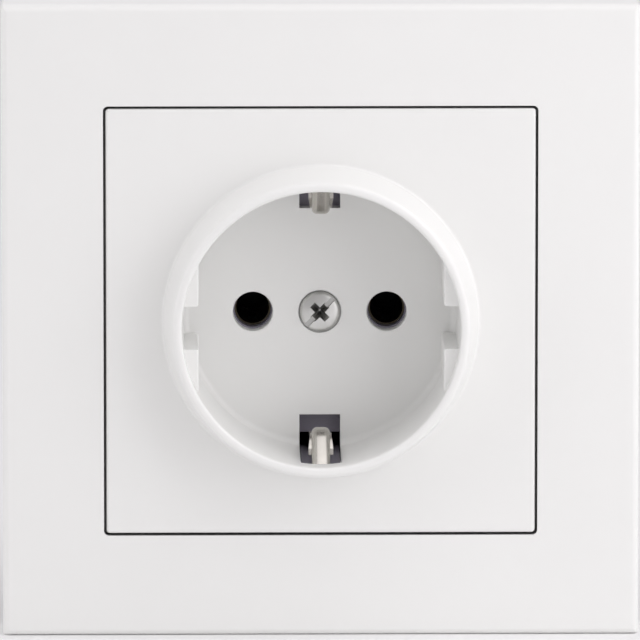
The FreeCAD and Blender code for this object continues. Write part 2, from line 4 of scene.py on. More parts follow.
import bmesh
import bpy
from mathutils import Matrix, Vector


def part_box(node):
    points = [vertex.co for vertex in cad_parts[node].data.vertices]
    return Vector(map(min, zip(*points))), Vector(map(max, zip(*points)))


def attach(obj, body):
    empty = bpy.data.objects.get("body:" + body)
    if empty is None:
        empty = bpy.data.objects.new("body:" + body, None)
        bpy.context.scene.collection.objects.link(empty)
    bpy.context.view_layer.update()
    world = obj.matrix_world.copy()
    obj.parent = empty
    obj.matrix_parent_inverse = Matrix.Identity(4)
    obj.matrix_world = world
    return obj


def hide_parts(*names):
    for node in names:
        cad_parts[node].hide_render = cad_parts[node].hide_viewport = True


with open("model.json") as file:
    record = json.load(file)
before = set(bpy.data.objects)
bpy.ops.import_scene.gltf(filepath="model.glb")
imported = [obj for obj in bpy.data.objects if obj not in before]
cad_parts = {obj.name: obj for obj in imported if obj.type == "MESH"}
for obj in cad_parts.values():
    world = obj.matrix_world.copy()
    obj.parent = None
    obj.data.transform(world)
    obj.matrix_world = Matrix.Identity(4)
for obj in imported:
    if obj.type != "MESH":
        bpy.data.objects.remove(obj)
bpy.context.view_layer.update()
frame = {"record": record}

# Base of the socket
# The insulating body behind the wall line: one dark thermoset moulding with chambers for both poles and the yoke.
# It is riveted under the support ring, and its two thin curved walls reach forward behind the earth fingers.
base_edge_round = 0.00012
base_colour = (0.235, 0.220, 0.270, 1.0)
weld_distance = 0.000002
flat_degrees = 0.5
pattern_low = 0.15
pattern_high = 0.85
clouds_per_metre = 55.0
gloss_drift = 0.03
dark_grain_depth = 0.000012
dark_grain_per_metre = 1500.0


def smooth_by_angle(mesh, degrees):
    """Rounded faces shade smooth, and edges sharper than the angle stay crisp."""
    for face in mesh.polygons:
        face.use_smooth = True
    form = bmesh.new()
    form.from_mesh(mesh)
    for edge in form.edges:
        edge.smooth = edge.is_manifold and edge.calc_face_angle(0.0) < math.radians(degrees)
    form.to_mesh(mesh)
    form.free()


def joined_copy(node, name):
    """Copy of a CAD node with its loose triangles joined and its flat faces made whole."""
    mesh = bpy.data.objects[node].data.copy()
    mesh.materials.clear()
    form = bmesh.new()
    form.from_mesh(mesh)
    bmesh.ops.remove_doubles(form, verts=form.verts, dist=weld_distance)
    bmesh.ops.dissolve_limit(form, angle_limit=math.radians(flat_degrees), verts=form.verts, edges=form.edges)
    form.to_mesh(mesh)
    form.free()
    piece = bpy.data.objects.new(name, mesh)
    bpy.context.scene.collection.objects.link(piece)
    return piece


def made_plain(piece):
    """The object's modifiers worked into its mesh."""
    graph = bpy.context.evaluated_depsgraph_get()
    mesh = bpy.data.meshes.new_from_object(piece.evaluated_get(graph))
    piece.modifiers.clear()
    piece.data = mesh
    return piece


def round_edges(piece, width, degrees=35):
    """Small moulded or rolled rounding on every edge sharper than the angle."""
    bevel = piece.modifiers.new("Edge rounding", "BEVEL")
    bevel.width = width
    bevel.segments = 2
    bevel.limit_method = "ANGLE"
    bevel.angle_limit = math.radians(degrees)
    bevel.miter_outer = "MITER_ARC"
    made_plain(piece)
    return piece


def add_node(tree, kind, values=None, **links):
    """Adds a node, sets its plain values and links its inputs by name."""
    node = tree.nodes.new(kind)
    for key, value in (values or {}).items():
        if hasattr(node, key):
            setattr(node, key, value)
        else:
            node.inputs[key].default_value = value
    for key, source in links.items():
        tree.links.new(source, node.inputs[key.replace("_", " ")])
    return node


def noise_of(tree, scale, detail=3.0, roughness=0.5, stretch=(1.0, 1.0, 1.0)):
    """Noise on the object's own coordinates, in features per metre."""
    place = add_node(tree, "ShaderNodeTexCoord")
    mapping = add_node(tree, "ShaderNodeMapping", {"Scale": stretch}, Vector=place.outputs["Object"])
    noise = add_node(tree, "ShaderNodeTexNoise", {"Scale": scale, "Detail": detail, "Roughness": roughness},
                     Vector=mapping.outputs["Vector"])
    return noise.outputs["Fac"]


def spread_of(tree, source, low, high, start=pattern_low, end=pattern_high):
    """Turns values from start to end into values from low to high."""
    limits = {"From Min": start, "From Max": end, "To Min": low, "To Max": high}
    return add_node(tree, "ShaderNodeMapRange", limits, Value=source).outputs["Result"]


def shade_of(tree, source, colour, darker):
    """Surface colour that drifts between the colour and a slightly darker one."""
    dark = tuple(channel * darker for channel in colour[:3]) + (1.0,)
    mix = add_node(tree, "ShaderNodeMix", {"data_type": "RGBA", "A": dark, "B": colour}, Factor=source)
    return mix.outputs["Result"]


def raised_by(tree, source, depth):
    """Bump of the given depth in metres."""
    bump = add_node(tree, "ShaderNodeBump", {"Strength": 1.0, "Distance": depth}, Height=source)
    return bump.outputs["Normal"]


def new_finish(name, plain_values):
    """Material whose shader has the given plain values."""
    material = bpy.data.materials.new(name)
    material.use_nodes = True
    for socket, value in plain_values.items():
        material.node_tree.nodes["Principled BSDF"].inputs[socket].default_value = value
    return material


def coated_with(material, colour, roughness, normal):
    """Links the colour, roughness and bump of a finish to its shader."""
    tree = material.node_tree
    shader = tree.nodes["Principled BSDF"]
    for socket, source in (("Base Color", colour), ("Roughness", roughness), ("Normal", normal)):
        tree.links.new(source, shader.inputs[socket])
    return material


def moulded_plastic(name, colour, roughness, grain_depth, grain_scale, darker=0.94):
    """Moulding compound: faint flow clouds in the colour, uneven gloss and a fine mould grain."""
    material = new_finish(name, {"IOR": 1.5})
    tree = material.node_tree
    clouds = noise_of(tree, clouds_per_metre)
    return coated_with(material, shade_of(tree, spread_of(tree, clouds, 0.0, 1.0), colour, darker),
                       spread_of(tree, clouds, roughness - gloss_drift, roughness + gloss_drift),
                       raised_by(tree, noise_of(tree, grain_scale, 2.0), grain_depth))


def finished(piece, material, slot_name, *nodes):
    """Gives a piece its finish, lets it move with the body and stand for its CAD nodes."""
    piece.data.materials.clear()
    piece.data.materials.append(material)
    for face in piece.data.polygons:
        face.material_index = 0
    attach(piece, "root")
    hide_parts(*nodes)
    return piece


base_finish = moulded_plastic("dark_base_moulding", base_colour, 0.48, dark_grain_depth, dark_grain_per_metre, 0.8)
base_body = round_edges(joined_copy("socket_base", "base_body"), base_edge_round)
smooth_by_angle(base_body.data, 30)
finished(base_body, base_finish, "base_moulding", "socket_base")


# Contacts of the two poles
# Each is stamped from brass strip: a split sleeve that grips the plug pin and a plate for two wire terminals.
# They drop into the chambers of the base from behind and are left as the CAD model has them.
# Painted shade: the brass colour is kept far darker than bright brass. It is a dull brass that also stands in for the
# shade deep in the pin holes.
brass_colour_with_painted_shade = (0.095, 0.080, 0.055, 1.0)
plating_per_metre = 260.0
marks_per_metre = 900.0


def plated_metal(name, colour, roughness, marks_depth, stretch, darker=0.85):
    """Metal with a slightly uneven plating and fine drawing marks along one direction."""
    material = new_finish(name, {"Metallic": 1.0})
    tree = material.node_tree
    clouds = noise_of(tree, plating_per_metre)
    marks = noise_of(tree, marks_per_metre, 3.0, 0.6, stretch)
    return coated_with(material, shade_of(tree, spread_of(tree, clouds, 0.0, 1.0), colour, darker),
                       spread_of(tree, marks, roughness * 0.75, roughness * 1.25),
                       raised_by(tree, marks, marks_depth))


brass_finish = plated_metal("dull_brass_with_painted_shade", brass_colour_with_painted_shade, 0.38, 0.000004, (1.0, 0.15, 1.0))
for pole in ("line", "neutral"):
    contact = joined_copy(pole + "_contact", pole + "_sleeve_and_plate")
    smooth_by_angle(contact.data, 30)
    finished(contact, brass_finish, "contact_brass", pole + "_contact")


# Springs round the contact sleeves
# Open bands of blued spring steel, rolled from strip and snapped over the sleeves to press their leaves together.
spring_colour = (0.20, 0.21, 0.24, 1.0)
spring_thick = 0.0004
spring_open = math.radians(70.0)
quarter_turn = math.radians(90.0)


def tree_of_nodes(name, sizes):
    """Empty Geometry Nodes tree with a geometry in and out, and one named input for each size."""
    tree = bpy.data.node_groups.new(name, "GeometryNodeTree")
    tree.interface.new_socket("Geometry", in_out="INPUT", socket_type="NodeSocketGeometry")
    for size in sizes:
        tree.interface.new_socket(size, in_out="INPUT", socket_type="NodeSocketFloat")
    tree.interface.new_socket("Geometry", in_out="OUTPUT", socket_type="NodeSocketGeometry")
    return tree, tree.nodes.new("NodeGroupInput"), tree.nodes.new("NodeGroupOutput")


def worked_out(tree, operation, first, second):
    """Arithmetic between two sizes, either of which may be a number. ABSOLUTE reads only the first."""
    node = tree.nodes.new("ShaderNodeMath")
    node.operation = operation
    for place, source in enumerate((first, second)):
        if isinstance(source, (int, float)):
            node.inputs[place].default_value = source
        else:
            tree.links.new(source, node.inputs[place])
    return node.outputs[0]


def vector_of(tree, x=0.0, y=0.0, z=0.0):
    """Vector from three sizes."""
    node = tree.nodes.new("ShaderNodeCombineXYZ")
    for place, source in enumerate((x, y, z)):
        if isinstance(source, (int, float)):
            node.inputs[place].default_value = source
        else:
            tree.links.new(source, node.inputs[place])
    return node.outputs[0]


def turned(tree, geometry, x=0.0, y=0.0):
    """The geometry turned about X or Y."""
    return add_node(tree, "GeometryNodeTransform", {"Rotation": (x, y, 0.0)}, Geometry=geometry).outputs[0]


def real_and_coated(tree, geometry, material, output):
    """Ends a tree: instances made real and the finish set."""
    real = add_node(tree, "GeometryNodeRealizeInstances", Geometry=geometry)
    coated = add_node(tree, "GeometryNodeSetMaterial", Geometry=real.outputs[0])
    coated.inputs["Material"].default_value = material
    tree.links.new(coated.outputs[0], output.inputs[0])


def grown_by(tree, name, mesh, sizes):
    """Object whose mesh a tree makes from the given one and the named sizes."""
    piece = bpy.data.objects.new(name, mesh)
    bpy.context.scene.collection.objects.link(piece)
    modifier = piece.modifiers.new(tree.name, "NODES")
    modifier.node_group = tree
    for socket in tree.interface.items_tree:
        if socket.in_out == "INPUT" and socket.name in sizes:
            modifier[socket.identifier] = sizes[socket.name]
    return made_plain(piece)


def mount_at(name):
    """Place of one of the part's mounts."""
    for mount in frame["record"]["mounts"]:
        if mount["name"] == name:
            return Vector(mount["pos_m"])


spring_finish = plated_metal("blued_spring_steel", spring_colour, 0.3, 0.000003, (1.0, 1.0, 0.2))
spring_tree, sizes_in, geometry_out = tree_of_nodes("open_band", ["Radius", "Width", "Thickness", "Sweep"])
arc = add_node(spring_tree, "GeometryNodeCurveArc", {"Resolution": 40, "Start Angle": spring_open / 2},
               Radius=sizes_in.outputs["Radius"], Sweep_Angle=sizes_in.outputs["Sweep"])
strip = add_node(spring_tree, "GeometryNodeCurvePrimitiveQuadrilateral",
                 Width=sizes_in.outputs["Thickness"], Height=sizes_in.outputs["Width"])
band = add_node(spring_tree, "GeometryNodeCurveToMesh", {"Fill Caps": True}, Curve=arc.outputs[0],
                Profile_Curve=strip.outputs[0])
real_and_coated(spring_tree, turned(spring_tree, band.outputs[0], x=quarter_turn), spring_finish, geometry_out)
for pole, side in (("line", 1.0), ("neutral", -1.0)):
    low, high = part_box(pole + "_contact_spring")
    radius = (high.z - low.z) / 2 - spring_thick / 2
    spring = grown_by(spring_tree, pole + "_band", bpy.data.meshes.new(pole + "_band"),
                      {"Radius": radius, "Width": high.y - low.y, "Thickness": spring_thick,
                       "Sweep": 2 * math.pi - spring_open})
    pin_x = mount_at(pole + "_pin_hole").x
    for vertex in spring.data.vertices:
        vertex.co = Vector((pin_x + vertex.co.x * side, (low.y + high.y) / 2 + vertex.co.y, vertex.co.z * side))
    smooth_by_angle(spring.data, 30)
    finished(spring, spring_finish, "spring_steel", pole + "_contact_spring")


# Earth yoke
# One stamping of nickel-plated spring bronze: a strap across the base, a threaded boss for the centre screw, a tab for
# the earth wire, and two fingers bent forward that touch the plug's earth strips.
nickel_colour = (0.56, 0.54, 0.50, 1.0)

nickel_finish = plated_metal("bright_nickel", nickel_colour, 0.24, 0.000003, (1.0, 0.1, 1.0), 0.85)
yoke = joined_copy("earth_yoke", "earth_stamping")
smooth_by_angle(yoke.data, 28)
finished(yoke, nickel_finish, "nickel_plate", "earth_yoke")


# Terminal screws
# Five zinc-plated cheese-head screws, turned from bar with rolled threads and a sawn slot. Their heads sit in holes of
# the base's front wall, against the terminal plates, and pull the clamp plates up behind.
zinc_colour = (0.55, 0.56, 0.58, 1.0)
screw_nodes = [f"{pole}_terminal_screw_{level}" for pole in ("line", "neutral") for level in ("upper", "lower")]
screw_nodes.append("earth_terminal_screw")
clamp_nodes = [node.replace("terminal_screw", "clamp_plate") for node in screw_nodes]
terminal_shank_r = 0.00173
thread_pitch = 0.0006
thread_sunk = 0.45
thread_ridge = 0.43
thread_runout = 1.2
head_height = 0.0016
slot_width = 0.0008
saw_reach = 3.0


def points_at(name, places):
    """Mesh of loose points, one for each place where a tree sets a copy."""
    mesh = bpy.data.meshes.new(name)
    mesh.from_pydata([tuple(place) for place in places], [], [])
    return mesh


def middle_of(node):
    """Centre of a CAD node's box."""
    low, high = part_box(node)
    return (low + high) / 2


def moved(tree, geometry, x=0.0, y=0.0, z=0.0):
    """The geometry set off by three sizes."""
    return add_node(tree, "GeometryNodeTransform", Geometry=geometry,
                    Translation=vector_of(tree, x, y, z)).outputs[0]


zinc_finish = plated_metal("zinc_plated_steel", zinc_colour, 0.3, 0.000003, (1.0, 1.0, 1.0))
screw_low, screw_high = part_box(screw_nodes[0])
screw_sizes = {
    "Head Radius": (screw_high.x - screw_low.x) / 2,
    "Head Height": head_height,
    "Shank Radius": terminal_shank_r,
    "Length": screw_high.y - screw_low.y - head_height,
    "Thread Pitch": thread_pitch,
    "Slot Width": slot_width,
}
screw_tree, sizes_in, geometry_out = tree_of_nodes("cheese_head_screw", screw_sizes)
size = sizes_in.outputs
half_head = worked_out(screw_tree, "MULTIPLY", size["Head Height"], 0.5)
head = add_node(screw_tree, "GeometryNodeMeshCylinder", {"Vertices": 48}, Radius=size["Head Radius"],
                Depth=size["Head Height"])
slot_size = vector_of(screw_tree, worked_out(screw_tree, "MULTIPLY", size["Head Radius"], saw_reach),
                      size["Slot Width"], size["Head Height"])
saw = add_node(screw_tree, "GeometryNodeMeshCube", Size=slot_size)
slotted = add_node(screw_tree, "GeometryNodeMeshBoolean", {"operation": "DIFFERENCE", "solver": "EXACT"})
screw_tree.links.new(head.outputs[0], slotted.inputs[0])
screw_tree.links.new(moved(screw_tree, saw.outputs[0], z=half_head), slotted.inputs[1])
core_radius = worked_out(screw_tree, "SUBTRACT", size["Shank Radius"],
                         worked_out(screw_tree, "MULTIPLY", size["Thread Pitch"], thread_sunk))
core = add_node(screw_tree, "GeometryNodeMeshCylinder", {"Vertices": 32}, Radius=core_radius, Depth=size["Length"])
thread_run = worked_out(screw_tree, "SUBTRACT", size["Length"],
                        worked_out(screw_tree, "MULTIPLY", size["Thread Pitch"], thread_runout))
helix = add_node(screw_tree, "GeometryNodeCurveSpiral", {"Resolution": 24}, Start_Radius=core_radius,
                 End_Radius=core_radius, Height=thread_run,
                 Rotations=worked_out(screw_tree, "DIVIDE", thread_run, size["Thread Pitch"]))
ridge = add_node(screw_tree, "GeometryNodeCurvePrimitiveCircle", {"Resolution": 4},
                 Radius=worked_out(screw_tree, "MULTIPLY", size["Thread Pitch"], thread_ridge))
thread = add_node(screw_tree, "GeometryNodeCurveToMesh", {"Fill Caps": True}, Curve=helix.outputs[0],
                  Profile_Curve=ridge.outputs[0])
one_screw = add_node(screw_tree, "GeometryNodeJoinGeometry")
for part, place in ((thread, worked_out(screw_tree, "MULTIPLY", size["Length"], -1.0)),
                    (core, worked_out(screw_tree, "MULTIPLY", size["Length"], -0.5)), (slotted, half_head)):
    screw_tree.links.new(moved(screw_tree, part.outputs[0], z=place), one_screw.inputs[0])
all_screws = add_node(screw_tree, "GeometryNodeInstanceOnPoints", Points=sizes_in.outputs["Geometry"],
                      Instance=turned(screw_tree, one_screw.outputs[0], x=quarter_turn))
real_and_coated(screw_tree, all_screws.outputs[0], zinc_finish, geometry_out)
head_backs = []
for node in screw_nodes:
    middle = middle_of(node)
    head_backs.append((middle.x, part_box(node)[0].y + head_height, middle.z))
screws = grown_by(screw_tree, "terminal_screws", points_at("terminal_screws", head_backs), screw_sizes)
smooth_by_angle(screws.data, 30)
finished(screws, zinc_finish, "screw_steel", *screw_nodes)


# Clamp plates
# Square zinc-plated plates with a tapped hole. Each screw draws one up against the wires behind its terminal plate.
clamp_colour = (0.50, 0.50, 0.47, 1.0)
clamp_edge_round = 0.0001

clamp_finish = plated_metal("zinc_plated_plate", clamp_colour, 0.34, 0.000004, (0.2, 1.0, 1.0))
for node in clamp_nodes:
    clamp = round_edges(joined_copy(node, node.replace("clamp", "pressed")), clamp_edge_round)
    smooth_by_angle(clamp.data, 30)
    finished(clamp, clamp_finish, "zinc_clamp", node)


# Rear cover
# Moulded lid that closes the base from behind. Its lip snaps inside the wall, and a post keeps each contact down.
cover_colour = (0.050, 0.050, 0.060, 1.0)
cover_edge_round = 0.00015

cover_finish = moulded_plastic("dark_cover_moulding", cover_colour, 0.5, dark_grain_depth, dark_grain_per_metre, 0.82)
cover = round_edges(joined_copy("rear_cover", "rear_lid"), cover_edge_round)
smooth_by_angle(cover.data, 30)
finished(cover, cover_finish, "rear_moulding", "rear_cover")


# Support ring
# Square plate punched from galvanised sheet. It is screwed to the wall box through its long slots and carries the
# base, which is riveted under it.
galvanised_colour = (0.50, 0.51, 0.52, 1.0)
ring_edge_round = 0.00015
spangle_per_metre = 180.0
skin_per_metre = 1300.0
skin_depth = 0.000008


def galvanised_sheet(name, colour):
    """Zinc coat with its crystal spangle, uneven gloss and a slightly rough skin."""
    material = new_finish(name, {"Metallic": 1.0})
    tree = material.node_tree
    place = add_node(tree, "ShaderNodeTexCoord")
    spangle = add_node(tree, "ShaderNodeTexVoronoi", {"Scale": spangle_per_metre}, Vector=place.outputs["Object"])
    tone = add_node(tree, "ShaderNodeSeparateColor", Color=spangle.outputs["Color"]).outputs
    return coated_with(material, shade_of(tree, tone["Red"], colour, 0.78),
                       spread_of(tree, tone["Green"], 0.34, 0.46),
                       raised_by(tree, noise_of(tree, skin_per_metre, 4.0, 0.6), skin_depth))


ring_finish = galvanised_sheet("galvanised_sheet", galvanised_colour)
ring = round_edges(joined_copy("support_ring", "punched_ring"), ring_edge_round)
smooth_by_angle(ring.data, 30)
finished(ring, ring_finish, "galvanised_steel", "support_ring")


# Rivets
# Two aluminium rivets hold the base under the ring. Each has a shank through the ring and an ear of the base, and is
# set to a low dome at both ends.
rivet_colour = (0.72, 0.72, 0.74, 1.0)
rivet_nodes = ["ring_rivet_upper", "ring_rivet_lower"]
rivet_head = 0.0023
rivet_shank = 0.0015
rivet_dome = 0.0007

rivet_finish = plated_metal("set_aluminium", rivet_colour, 0.36, 0.000004, (1.0, 1.0, 1.0))
rivet_low, rivet_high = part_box(rivet_nodes[0])
rivet_sizes = {"Head Radius": rivet_head, "Shank Radius": rivet_shank, "Dome Height": rivet_dome,
               "Length": rivet_high.y - rivet_low.y}
rivet_tree, sizes_in, geometry_out = tree_of_nodes("set_rivet", rivet_sizes)
size = sizes_in.outputs
shank = add_node(rivet_tree, "GeometryNodeMeshCylinder", {"Vertices": 40}, Radius=size["Shank Radius"],
                 Depth=worked_out(rivet_tree, "SUBTRACT", size["Length"], size["Dome Height"]))
ball = add_node(rivet_tree, "GeometryNodeMeshUVSphere", {"Segments": 40, "Rings": 24, "Radius": 1.0})
dome_size = vector_of(rivet_tree, size["Head Radius"], size["Head Radius"], size["Dome Height"])
flat_ball = add_node(rivet_tree, "GeometryNodeTransform", Geometry=ball.outputs[0], Scale=dome_size)
keep_side = worked_out(rivet_tree, "MULTIPLY", size["Head Radius"], 3.0)
keep = add_node(rivet_tree, "GeometryNodeMeshCube",
                Size=vector_of(rivet_tree, keep_side, keep_side,
                               worked_out(rivet_tree, "MULTIPLY", size["Dome Height"], 2.0)))
dome = add_node(rivet_tree, "GeometryNodeMeshBoolean", {"operation": "INTERSECT", "solver": "EXACT"})
rivet_tree.links.new(flat_ball.outputs[0], dome.inputs[1])
rivet_tree.links.new(moved(rivet_tree, keep.outputs[0], z=size["Dome Height"]), dome.inputs[1])
dome_lift = worked_out(rivet_tree, "SUBTRACT", worked_out(rivet_tree, "MULTIPLY", size["Length"], 0.5),
                       size["Dome Height"])
one_rivet = add_node(rivet_tree, "GeometryNodeJoinGeometry")
rivet_tree.links.new(shank.outputs[0], one_rivet.inputs[0])
for flip in (0.0, math.pi):
    lifted = moved(rivet_tree, dome.outputs[0], z=dome_lift)
    rivet_tree.links.new(turned(rivet_tree, lifted, x=flip), one_rivet.inputs[0])
both = add_node(rivet_tree, "GeometryNodeInstanceOnPoints", Points=sizes_in.outputs["Geometry"],
                Instance=turned(rivet_tree, one_rivet.outputs[0], x=quarter_turn))
real_and_coated(rivet_tree, both.outputs[0], rivet_finish, geometry_out)
rivets = grown_by(rivet_tree, "ring_rivets", points_at("ring_rivets", [middle_of(node) for node in rivet_nodes]),
                  rivet_sizes)
smooth_by_angle(rivets.data, 30)
finished(rivets, rivet_finish, "rivet_metal", *rivet_nodes)


# Cover frame
# Square white moulding round the centre plate, hollow behind with ribs between its wall and its skirt. The centre
# plate clamps it to the wall through the narrow ledge in its opening.
white_colour = (0.875, 0.877, 0.860, 1.0)
frame_half = 0.045
frame_depth = 0.0095
frame_edge_r = 0.001
frame_corner_r = 0.0005
frame_skin = 0.0022
frame_wall = 0.0018
opening_half = 0.03065
opening_corner_r = 0.0007
opening_edge_r = 0.00006
skirt_wall = 0.0016
skirt_end_y = -0.0012
ledge_y = -0.0071
ledge_width = 0.0016
ledge_thick = 0.0015
rib_thick = 0.001
rib_end_y = -0.003
ribs_per_side = 4
pry_step_half = 0.005
pry_step_proud = 0.0001
pry_step_down = 0.0011
pry_step_root = 0.0004
pry_step_end = 0.0006
sharpest_corner = 0.00005
corner_points = 8
# Where shade is painted into the joint between frame and plate: its span across, its depth and its share of the
# colour.
joint_inner = 0.0300
joint_outer = 0.0309
joint_blur = 0.0001
joint_from = 0.0002
joint_to = 0.0006
joint_shade = 0.3
white_grain_depth = 0.0000035
white_grain_per_metre = 2400.0
merge_distance = 0.0000005
large_round_steps = 8
small_round_steps = 4
rib_sunk_share = 0.6


def rounded_square(half, corner_r, y):
    """Closed loop of points round a square with rounded corners, in the plane y."""
    points = []
    for quarter in range(4):
        for step in range(corner_points + 1):
            angle = quarter_turn * (quarter + step / corner_points)
            diagonal = quarter_turn * quarter + math.radians(45.0)
            middle_x = math.copysign(half - corner_r, math.cos(diagonal))
            middle_z = math.copysign(half - corner_r, math.sin(diagonal))
            points.append(Vector((middle_x + corner_r * math.cos(angle), y, middle_z + corner_r * math.sin(angle))))
    return points


def skin_over(form, loops, closed_series):
    """Joins a series of loops with equal numbers of points by four-sided faces."""
    rings = [[form.verts.new(point) for point in loop] for loop in loops]
    pairs = list(zip(rings, rings[1:]))
    if closed_series:
        pairs.append((rings[-1], rings[0]))
    for near, far in pairs:
        for place in range(len(near)):
            after = (place + 1) % len(near)
            form.faces.new((near[place], near[after], far[after], far[place]))
    return rings


def piece_from(form, name):
    """Object from a closed bmesh, its doubles merged and its faces turned outwards."""
    bmesh.ops.remove_doubles(form, verts=form.verts, dist=merge_distance)
    bmesh.ops.dissolve_degenerate(form, edges=form.edges, dist=merge_distance)
    bmesh.ops.recalc_face_normals(form, faces=form.faces)
    mesh = bpy.data.meshes.new(name)
    form.to_mesh(mesh)
    form.free()
    piece = bpy.data.objects.new(name, mesh)
    bpy.context.scene.collection.objects.link(piece)
    return piece


def arc_steps(count):
    """Angles of a quarter turn in equal steps, both ends included."""
    return [quarter_turn * step / count for step in range(count + 1)]


def even_shading(piece, degrees=30):
    """Smooth shading that keeps flat faces flat beside small roundings."""
    smooth_by_angle(piece.data, degrees)
    weighted = piece.modifiers.new("Even shading", "WEIGHTED_NORMAL")
    weighted.keep_sharp = True
    weighted.weight = 100
    made_plain(piece)
    return piece


def frame_loops():
    """Section of the frame from the rear rim round the outside, the face, the opening and the hollow back."""
    front = -frame_depth
    loops = [rounded_square(frame_half, frame_corner_r, 0.0)]
    for angle in arc_steps(large_round_steps):
        inset = frame_edge_r * (1 - math.cos(angle))
        corner = max(frame_corner_r - inset, sharpest_corner)
        loops.append(rounded_square(frame_half - inset, corner, front + frame_edge_r * (1 - math.sin(angle))))
    for angle in reversed(arc_steps(small_round_steps)):
        spread = opening_edge_r * (1 - math.cos(angle))
        loops.append(rounded_square(opening_half + spread, opening_corner_r + spread,
                                    front + opening_edge_r * (1 - math.sin(angle))))
    inner_half = opening_half - ledge_width
    loops += [
        rounded_square(opening_half, opening_corner_r, ledge_y),
        rounded_square(inner_half, opening_corner_r, ledge_y),
        rounded_square(inner_half, opening_corner_r, ledge_y + ledge_thick),
        rounded_square(opening_half, opening_corner_r, ledge_y + ledge_thick),
        rounded_square(opening_half, opening_corner_r, skirt_end_y),
        rounded_square(opening_half + skirt_wall, opening_corner_r + skirt_wall, skirt_end_y),
        rounded_square(opening_half + skirt_wall, opening_corner_r + skirt_wall, front + frame_skin),
        rounded_square(frame_half - frame_wall, frame_corner_r, front + frame_skin),
        rounded_square(frame_half - frame_wall, frame_corner_r, 0.0),
    ]
    return loops


def add_block(form, low, high):
    """Closed box between two corners."""
    corners = [Vector((x, y, z)) for x in (low[0], high[0]) for y in (low[1], high[1]) for z in (low[2], high[2])]
    verts = [form.verts.new(corner) for corner in corners]
    for face in ((0, 1, 3, 2), (4, 6, 7, 5), (0, 4, 5, 1), (2, 3, 7, 6), (0, 2, 6, 4), (1, 5, 7, 3)):
        form.faces.new([verts[index] for index in face])


def own_place(tree):
    """X, Y and Z of each point in the object's own coordinates."""
    place = add_node(tree, "ShaderNodeTexCoord")
    return add_node(tree, "ShaderNodeSeparateXYZ", Vector=place.outputs["Object"]).outputs


def shaded_by(material, share):
    """Scales a finish's colour by the given share."""
    tree = material.node_tree
    base = tree.nodes["Principled BSDF"].inputs["Base Color"]
    shaded = add_node(tree, "ShaderNodeVectorMath", {"operation": "SCALE"}, Scale=share)
    tree.links.new(base.links[0].from_socket, shaded.inputs[0])
    tree.links.new(shaded.outputs[0], base)


def shade_painted_in_joint(material, inner, outer, face_y, share):
    """Painted shade: darkens the moulding inside the joint between frame and plate, deeper than the face, where the
    gap lies in shade.
    """
    tree = material.node_tree
    place = own_place(tree)
    across = worked_out(tree, "MAXIMUM", worked_out(tree, "ABSOLUTE", place["X"], 0.0),
                        worked_out(tree, "ABSOLUTE", place["Z"], 0.0))
    inside = worked_out(tree, "MULTIPLY", spread_of(tree, across, 0.0, 1.0, inner - joint_blur, inner),
                        spread_of(tree, across, 0.0, 1.0, outer + joint_blur, outer))
    deep = spread_of(tree, place["Y"], 0.0, 1.0, face_y + joint_from, face_y + joint_to)
    in_painted_shade = worked_out(tree, "MULTIPLY", inside, deep)
    shaded_by(material, worked_out(tree, "ADD", worked_out(tree, "MULTIPLY", in_painted_shade, share - 1.0), 1.0))


white_finish = moulded_plastic("white_moulding", white_colour, 0.30, white_grain_depth, white_grain_per_metre, 0.985)
# Painted shade in the joint between frame and plate, so the gap reads dark.
shade_painted_in_joint(white_finish, joint_inner, joint_outer, -frame_depth, joint_shade)
rib_sizes = {"Rib Thickness": rib_thick, "Skirt Half": opening_half + skirt_wall, "Wall Half": frame_half - frame_wall,
             "Skin Back": -frame_depth + frame_skin, "Rib End": rib_end_y}
rib_tree, sizes_in, geometry_out = tree_of_nodes("ribs_round_a_frame", rib_sizes)
size = sizes_in.outputs
rib_reach = worked_out(rib_tree, "SUBTRACT", size["Wall Half"], size["Skirt Half"])
rib_depth = worked_out(rib_tree, "SUBTRACT", size["Rib End"], size["Skin Back"])
overlap = worked_out(rib_tree, "MULTIPLY", size["Rib Thickness"], rib_sunk_share)
rib = add_node(rib_tree, "GeometryNodeMeshCube",
               Size=vector_of(rib_tree, size["Rib Thickness"], worked_out(rib_tree, "ADD", rib_depth, overlap),
                              worked_out(rib_tree, "ADD", rib_reach, overlap)))
spacing = worked_out(rib_tree, "DIVIDE", worked_out(rib_tree, "MULTIPLY", size["Skirt Half"], 2.0),
                     float(ribs_per_side))
first = worked_out(rib_tree, "MULTIPLY", spacing, -0.5 * (ribs_per_side - 1))
level = worked_out(rib_tree, "SUBTRACT", size["Rib End"],
                   worked_out(rib_tree, "MULTIPLY", worked_out(rib_tree, "ADD", rib_depth, overlap), 0.5))
out = worked_out(rib_tree, "MULTIPLY", worked_out(rib_tree, "ADD", size["Wall Half"], size["Skirt Half"]), 0.5)
row = add_node(rib_tree, "GeometryNodeMeshLine", {"Count": ribs_per_side},
               Start_Location=vector_of(rib_tree, first, level, out), Offset=vector_of(rib_tree, spacing))
one_side = add_node(rib_tree, "GeometryNodeInstanceOnPoints", Points=row.outputs[0], Instance=rib.outputs[0])
moulding = add_node(rib_tree, "GeometryNodeJoinGeometry")
rib_tree.links.new(sizes_in.outputs["Geometry"], moulding.inputs[0])
for quarter in range(4):
    rib_tree.links.new(turned(rib_tree, one_side.outputs[0], y=quarter_turn * quarter), moulding.inputs[0])
real_and_coated(rib_tree, moulding.outputs[0], white_finish, geometry_out)

frame_form = bmesh.new()
skin_over(frame_form, frame_loops(), True)
add_block(frame_form, (opening_half - pry_step_proud, -frame_depth + pry_step_down, -pry_step_half),
          (opening_half + pry_step_root, ledge_y + pry_step_end, pry_step_half))
frame_shell = piece_from(frame_form, "frame_moulding")
frame_piece = grown_by(rib_tree, "cover_moulding", frame_shell.data, rib_sizes)
bpy.data.objects.remove(frame_shell)
even_shading(frame_piece)
finished(frame_piece, white_finish, "white_moulding", "cover_frame")


